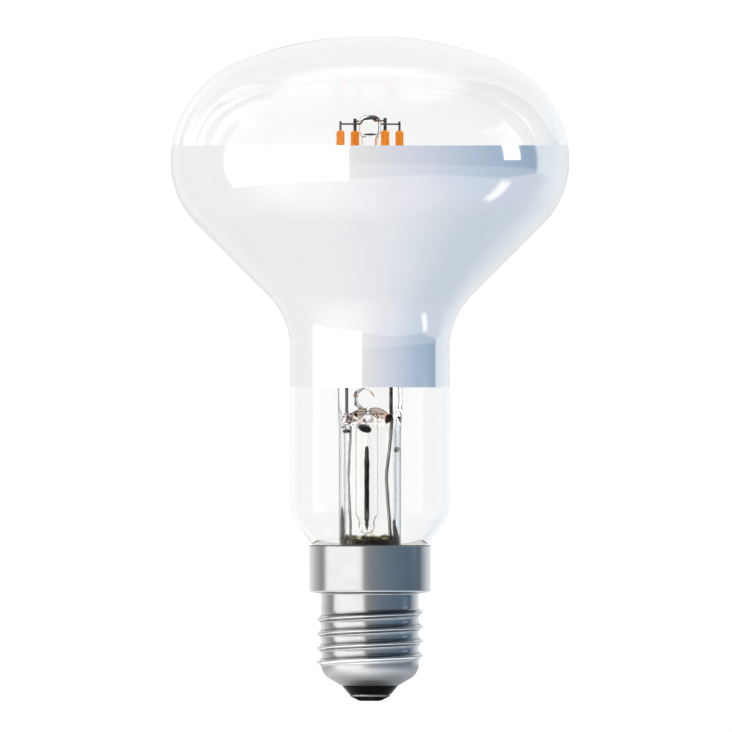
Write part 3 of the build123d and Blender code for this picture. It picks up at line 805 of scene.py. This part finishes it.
exhaust_line = rounded(
    [
        (0, exhaust_tip),
        (exhaust_radius / 2, exhaust_tip, exhaust_radius / 3),
        (exhaust_radius, exhaust_tip + tip_length, exhaust_radius / 3),
        (exhaust_radius, taper_z),
        (exhaust_radius, press_z),
        (0, press_z),
    ]
)
exhaust = turned_piece("exhaust_outside", exhaust_line, stem_glass, around=96)
exhaust.location.x = exhaust_offset * MM
cut_away(hollow, exhaust)
cut_away(stem, hollow)
dark_line = [(0, exhaust_tip + dark_low), (exhaust_bore, exhaust_tip + dark_full)]
dark_line += [(exhaust_bore, dark_top - dark_taper), (dark_end, dark_top), (0, dark_top)]
clear_low = dark_top - 0.1
clear_line = [(0, clear_low), (exhaust_bore, clear_low), (exhaust_bore, hole_z), (0, hole_z)]
for line, skin in ((clear_line, stem_glass), (dark_line, dark_bore)):
    bore = turned_piece("exhaust_bore", line, skin, around=64)
    bore.location.x = exhaust_offset * MM
    cut_away(stem, bore)
hole_front = Vector((sin(cage_turn), -cos(cage_turn), 0))
hole_side = Vector((cos(cage_turn), sin(cage_turn), 0))
hole_rows = [(0, 0), (0, hole_radius), (hole_straight, hole_radius)]
hole_rows += [(hole_reach, hole_radius + hole_flare), (hole_reach, 0)]
hole_turns = [2 * pi * i / 48 for i in range(48)]
rings = []
for reach, radius in hole_rows:
    middle = hole_front * reach + hole_side * exhaust_offset + Vector((0, 0, hole_z))
    spokes = [hole_side * (radius * cos(t)) for t in hole_turns]
    ring = [tuple(middle + s + Vector((0, 0, radius * sin(t)))) for s, t in zip(spokes, hole_turns)]
    rings.append(ring if radius else [tuple(middle)])
cut_away(stem, rings_piece("exhaust_hole", rings, stem_glass))
stem.data.polygons.foreach_set("use_smooth", [True] * len(stem.data.polygons))
stem.data.set_sharp_from_angle(angle=radians(35))
settle(stem, "stem_glass", "glass_stem")

# Cap shell: skirt with its lip, shoulder, rolled thread and cone, thickened inwards to the sheet
thread_top = shell_foot + 8.6
shell_line = rounded(
    [
        (skirt_radius - lip, skirt_top),
        (skirt_radius + lip_bulge, skirt_top - lip, 0.04),
        (skirt_radius, skirt_top - lip_foot, 0.08),
        (skirt_radius, skirt_z, 0.25),
        (shell_root, shoulder_z, 0.2),
        (shell_root, thread_top),
    ]
)
shell_line += [(shell_root, thread_top - thread_row * i) for i in range(1, thread_rows + 1)]
bowl_top = shell_foot + 0.35
bowl_corners = [(shell_root, bowl_top), (shell_root, knee_z, knee_round), (mouth_radius, mouth_z)]
shell_line += rounded(bowl_corners, 12)[1:]
shell_around = 192
rings = []
for r, z in shell_line:
    begun = smoothstep(shell_foot - 0.3, shell_foot + 0.6, z)
    ended = smoothstep(thread_end + 0.1, thread_end - 0.7, z)
    on_thread = r < shell_root + 0.01 and z > shell_foot - 0.3
    ring = []
    for i in range(shell_around):
        run = (z - thread_start) / thread_pitch - i / shell_around
        off_crest = abs(run - round(run)) * thread_pitch
        bead = 0.5 + 0.5 * cos(pi * min(1, off_crest / bead_half))
        valley = 0.5 + 0.5 * cos(2 * pi * off_crest / thread_pitch)
        rib = bead_share * bead + (1 - bead_share) * valley
        rise = (thread_crest - shell_root) * rib * (begun * ended) if on_thread else 0
        turn = 2 * pi * i / shell_around
        ring.append(((r + rise) * cos(turn), (r + rise) * sin(turn), z))
    rings.append(ring)
shell = rings_piece("cap_shell", rings, cap_metal, sharp=60)
thicken = shell.modifiers.new("sheet", "SOLIDIFY")
thicken.thickness = sheet * MM
thicken.offset = -1
settle(shell, "cap_metal", "cap_shell")

# Insulator: cast into the cone of the shell, its lower edge rounded by the melt
insulator_top = shell_foot + 0.4
insulator_line = rounded(
    [
        (rivet_radius, insulator_top),
        (shell_root - sheet, insulator_top),
        (shell_root - sheet, knee_z + 0.1, insulator_bend),
        (mouth_radius - 0.1, mouth_z + 0.2),
        (mouth_radius - 0.03, mouth_z - 0.04, 0.1),
        (insulator_foot, contact_height, 0.15),
        (rivet_radius, contact_height),
    ]
)
insulator = turned_piece("cap_insulator", insulator_line, black_glass, closed=True)
settle(insulator, "black_glass", "cap_insulator")

# Centre contact: a tinned disc, domed to its flat face, with the rivet that holds it
rim_z = contact_height - contact_rim
contact_line = rounded(
    [
        (0, 0),
        (contact_face - 0.3, 0, 1.2),
        (contact_radius - 0.3, rim_z - 0.15, 0.3),
        (contact_radius, rim_z, 0.08),
        (contact_radius, contact_height, 0.05),
        (rivet_radius, contact_height),
        (rivet_radius, contact_height + rivet_length),
        (0, contact_height + rivet_length),
    ]
)
contact = turned_piece("centre_contact", contact_line, contact_tin)
settle(contact, "solder", "centre_contact")

# Capping cement: fills the skirt round the seal up to the rim and follows the drawn-in glass
cement_top, cement_radius = skirt_top - 0.02, skirt_radius - sheet - snug
glass_outside = between(envelope_line(0), seal_z + 0.1, cement_top)
cement_line = [(r + snug, z) for r, z in glass_outside] + [(seal_radius + snug, seal_z)]
cement_line += [(cement_radius, seal_z), (cement_radius, cement_top)]
cement = turned_piece("capping_cement", cement_line, capping_cement, closed=True)
settle(cement, "adhesive", "capping_adhesive")

# Filaments: a moulded phosphor bar, swelling a little over each chip, a millimetre from chip to chip
bar_foot, bar_head = filament_low + filament_end, filament_high - filament_end
heights = [filament_low + filament_end * (1 - cos(pi / 2 * i / 6)) for i in range(7)]
heights += [bar_foot + filament_row * i for i in range(1, 274)]
heights += [bar_head + filament_end * sin(pi / 2 * i / 6) for i in range(7)]
for number in range(4):
    facing = cage_turn + radians(45 + 90 * number)
    outwards, sideways = Vector((cos(facing), sin(facing), 0)), Vector((-sin(facing), cos(facing), 0))
    middle = outwards * filament_circle
    rings = [[tuple(middle + Vector((0, 0, filament_low)))]]
    for z in heights:
        near_end = min(z - filament_low, filament_high - z)
        pull = 0
        if near_end < filament_end:
            pull = filament_end - (filament_end ** 2 - (filament_end - near_end) ** 2) ** 0.5
        swell = chip_swell * (0.5 + 0.5 * cos(2 * pi * (z - filament_low - 0.5))) - chip_swell
        ring = []
        for i in range(32):
            t = 2 * pi * i / 32
            across = abs(cos(t)) ** squareness * (1 if cos(t) > 0 else -1)
            along = abs(sin(t)) ** squareness * (1 if sin(t) > 0 else -1)
            offset = outwards * across * (filament_thickness / 2 - pull + swell)
            offset += sideways * along * (filament_width / 2 - pull + swell)
            ring.append(tuple(middle + offset + Vector((0, 0, z))))
        rings.append(ring)
    rings.append([tuple(middle + Vector((0, 0, filament_high)))])
    filament = rings_piece(f"filament_bar_{number + 1}", rings, phosphor)
    settle(filament, "phosphor", f"filament_{number + 1}")

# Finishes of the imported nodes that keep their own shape
tabs = [f"{end}_tab_{number}" for end in ("upper", "lower") for number in (1, 2, 3, 4)]
wires = ["lower_bridge_wire", "upper_bridge_wire", "left_fork_wire", "right_fork_wire"]
kept = {
    nickel_wire: wires + ["left_inner_lead", "right_inner_lead"] + tabs,
    seal_wire: ["left_seal_wire", "right_seal_wire"],
    tinned_wire: ["left_outer_lead", "right_outer_lead", "contact_lead", "shell_lead"],
    board: ["driver_board"],
    moulded_black: ["bridge_rectifier", "driver_chip"],
    capacitor_sleeve: ["smoothing_capacitor"],
    resistor_body: ["fuse_resistor"],
}
for material, names in kept.items():
    for name in names:
        nodes[name].material_slots[0].material = material

# Pale paper floor, seen by the camera and by soft bounced light only, with a fibre of 2 mm
paper = grained_material("pale_paper", 2, 4, ("#F4F4F4", "#F8F8F8"), {"Roughness": 0.9})
floor = turned_piece("paper_floor", [(0, -0.01), (60, -0.01), (900, -0.01)], paper, around=96)
floor.visible_glossy = False
floor.visible_transmission = False

# Light table let into the floor under the cap: only the cap's polished sides mirror it, white on the left,
# cooler on the right and brighter in front
light_table = empty_material("opal_light_table")
tree = light_table.node_tree
spot = node(tree, "ShaderNodeTexCoord").outputs["Object"]
sides = node(tree, "ShaderNodeSeparateXYZ", {"Vector": spot}).outputs
across = node(tree, "ShaderNodeMapRange", {"Value": sides["X"], "From Min": -9 * MM, "From Max": 9 * MM})
tint = node(
    tree,
    "ShaderNodeValToRGB",
    {"Fac": across.outputs[0]},
    stops=((0.3, "#FFFFFF"), (0.7, "#CCD2D8")),
)
power = node(
    tree,
    "ShaderNodeMapRange",
    {"Value": sides["Y"], "From Min": -5 * MM, "From Max": -10 * MM, "To Min": 1.8, "To Max": 2.8},
)
shine = node(tree, "ShaderNodeEmission", {"Color": tint.outputs[0], "Strength": power.outputs[0]})
node(tree, "ShaderNodeOutputMaterial", {"Surface": shine.outputs[0]})
opal = turned_piece("opal_light_table", [(0, -0.005), (4, -0.005), (12, -0.005)], light_table, around=96)
opal.visible_camera = False
opal.visible_diffuse = False
opal.visible_transmission = False
opal.visible_shadow = False

# Studio: a wide softbox on the left, a blue-grey wall with a window on the right, white paper behind, a pale
# table. Bearings are in degrees, 0 towards the camera and left negative, and elevations in degrees above the
# horizon
studio = bpy.data.worlds.new("studio")
studio.use_nodes = True
tree = studio.node_tree
tree.nodes.clear()
way = node(tree, "ShaderNodeTexCoord").outputs["Generated"]
to_right, to_back, to_top = node(tree, "ShaderNodeSeparateXYZ", {"Vector": way}).outputs
front = node(tree, "ShaderNodeMath", {0: to_back, 1: -1.0}, operation="MULTIPLY").outputs[0]
turned = node(tree, "ShaderNodeMath", {0: to_right, 1: front}, operation="ARCTAN2")
bearing = node(tree, "ShaderNodeMath", {0: turned.outputs[0]}, operation="DEGREES").outputs[0]
aside = node(tree, "ShaderNodeMath", {0: bearing}, operation="ABSOLUTE").outputs[0]
lifted = node(tree, "ShaderNodeMath", {0: to_top}, operation="ARCSINE")
elevation = node(tree, "ShaderNodeMath", {0: lifted.outputs[0]}, operation="DEGREES").outputs[0]
round_wall = node(tree, "ShaderNodeMath", {0: bearing, 1: 1 / 360, 2: 0.5}, operation="MULTIPLY_ADD")
sideways = node(tree, "ShaderNodeMath", {0: to_right, 1: 0.5, 2: 0.5}, operation="MULTIPLY_ADD")

# Shades of the walls by bearing, at eye height and high up, and of the far and near table from the left
eye_walls = (
    (-180, "#8C8C8C"), (180, "#8C8C8C"), (-158, "#929291"), (-148, "#8E8D8C"), (-95.5, "#8E8D8C"),
    (-93.5, "#FFFFFF"), (-14.5, "#FFFFFF"), (-13.5, "#878684"), (24, "#7B7D84"), (60, "#6A727C"),
    (80, "#616C79"), (115, "#566370"), (118, "#80858A"), (150, "#898C8F"),
)
high_walls = (
    (-180, "#8C8C8C"), (180, "#8C8C8C"), (-138, "#8B8A89"), (-96, "#898887"), (-90, "#C4C4C4"),
    (-20, "#C4C4C4"), (-10, "#33383D"), (108, "#33383D"), (118, "#898B8E"), (150, "#8C8C8C"),
)
far_shades = (
    (0.1, "#8E8E8E"), (0.32, "#8B8B8B"), (0.5, "#878789"),
    (0.65, "#7E8286"), (0.75, "#757B81"), (0.92, "#777C83"),
)
near_shades = (
    (0.1, "#959595"), (0.3, "#939393"), (0.44, "#8F8F90"),
    (0.6, "#89898B"), (0.71, "#86878B"), (0.93, "#797F87"),
)
eye_level, high_up = [
    node(
        tree,
        "ShaderNodeValToRGB",
        {"Fac": round_wall.outputs[0]},
        stops=[(degrees / 360 + 0.5, shade) for degrees, shade in walls],
    ).outputs[0]
    for walls in (eye_walls, high_walls)
]
far_table, near_table = [
    node(tree, "ShaderNodeValToRGB", {"Fac": sideways.outputs[0]}, stops=shades).outputs[0]
    for shades in (far_shades, near_shades)
]
nearness = node(
    tree,
    "ShaderNodeMapRange",
    {"Value": front, "From Min": -0.35, "From Max": 0.6},
    interpolation_type="SMOOTHSTEP",
)
table = node(
    tree,
    "ShaderNodeMix",
    {"Factor": nearness.outputs[0], "A": far_table, "B": near_table},
    data_type="RGBA",
).outputs[2]

# Skirting at the foot of the wall, leaning down to the right
lean = node(
    tree,
    "ShaderNodeMapRange",
    {"Value": bearing, "From Min": -14, "From Max": 60, "To Min": 5, "To Max": 0.5},
)
above = node(tree, "ShaderNodeMath", {0: elevation, 1: lean.outputs[0]}, operation="SUBTRACT").outputs[0]

# Edge of the table: sharp in front, dipping on the left, rising on the right, and lost in haze at the back
left_drop = node(
    tree,
    "ShaderNodeMapRange",
    {"Value": bearing, "From Min": -14, "From Max": 36, "To Min": -5.5, "To Max": 1.5},
)
right_rise = node(
    tree,
    "ShaderNodeMapRange",
    {"Value": bearing, "From Min": 84, "From Max": 116, "To Max": 9},
)
rise = node(tree, "ShaderNodeMath", {0: left_drop.outputs[0], 1: right_rise.outputs[0]}, operation="ADD")
level = node(tree, "ShaderNodeMath", {0: elevation, 1: rise.outputs[0]}, operation="SUBTRACT")
front_edge = node(
    tree,
    "ShaderNodeMapRange",
    {"Value": level.outputs[0], "From Min": -17, "From Max": -20},
    interpolation_type="SMOOTHSTEP",
)
hazy_edge = node(
    tree,
    "ShaderNodeMapRange",
    {"Value": elevation, "From Min": -1, "From Max": -46},
    interpolation_type="SMOOTHSTEP",
)
on_table = node(
    tree,
    "ShaderNodeMapRange",
    {
        "Value": aside,
        "From Min": 114,
        "From Max": 140,
        "To Min": front_edge.outputs[0],
        "To Max": hazy_edge.outputs[0],
    },
    interpolation_type="SMOOTHSTEP",
).outputs[0]

# Plain paper for the camera, and for what is seen straight through the glass
seen = node(tree, "ShaderNodeLightPath")
through = node(
    tree,
    "ShaderNodeMath",
    {0: seen.outputs["Is Transmission Ray"], 1: seen.outputs["Glossy Depth"]},
    operation="SUBTRACT",
    use_clamp=True,
).outputs[0]

# What hangs in the studio, from the first to the last: its shade or colours, how much of it shows, and each
# direction by which it comes in, with the values where it begins and where it is whole
hangings = (
    (high_up, 1.0, ((elevation, 18, 36),)),
    ("#8C8C8C", 1.0, ((aside, 160, 172), (elevation, -40, -20))),
    ("#C8C8C8", 1.0, ((elevation, 52, 64),)),
    ("#B1B1B1", 1.0, ((bearing, 86, 87), (bearing, 100.7, 99.7), (elevation, 1, 2), (elevation, 20, 17))),
    (table, 0.4, ((above, -4.5, -6.5), (bearing, -13, -12), (bearing, 116, 112))),
    (table, on_table, ()),
    ("#959699", 1.0, ((bearing, 86, 90), (bearing, 99, 95), (elevation, -42, -36), (elevation, -15, -22))),
    ("#8C8C8C", through, ()),
    ("#939393", seen.outputs["Is Camera Ray"], ()),
)
room = eye_level
for colours, showing, edges in hangings:
    for by, begins, whole in edges:
        showing = node(
            tree,
            "ShaderNodeMapRange",
            {"Value": by, "From Min": begins, "From Max": whole, "To Max": showing},
            interpolation_type="SMOOTHSTEP",
        ).outputs[0]
    cloth = linear(colours) if isinstance(colours, str) else colours
    layers = {"Factor": showing, "A": room, "B": cloth}
    room = node(tree, "ShaderNodeMix", layers, data_type="RGBA").outputs[2]
glow = node(tree, "ShaderNodeBackground", {"Color": room, "Strength": 3.6})
node(tree, "ShaderNodeOutputWorld", {"Surface": glow.outputs[0]})
scene = bpy.context.scene
scene.world = studio
scene.view_settings.view_transform = "Standard"
scene.cycles.max_bounces = 32
scene.cycles.transmission_bounces = 32
scene.cycles.glossy_bounces = 12

# Camera: level, far off and in front, as in the photograph, where 732 pixels take in 91.73 mm
view_width, eye_x, eye_z = 91.73, -0.5, 41.98
lens = bpy.data.cameras.new("camera")
lens.type = "ORTHO"
lens.ortho_scale = view_width * MM
camera = bpy.data.objects.new("camera", lens)
camera.location = (eye_x * MM, -1.0, eye_z * MM)
camera.rotation_euler = (radians(90), 0, 0)
scene.collection.objects.link(camera)
scene.camera = camera
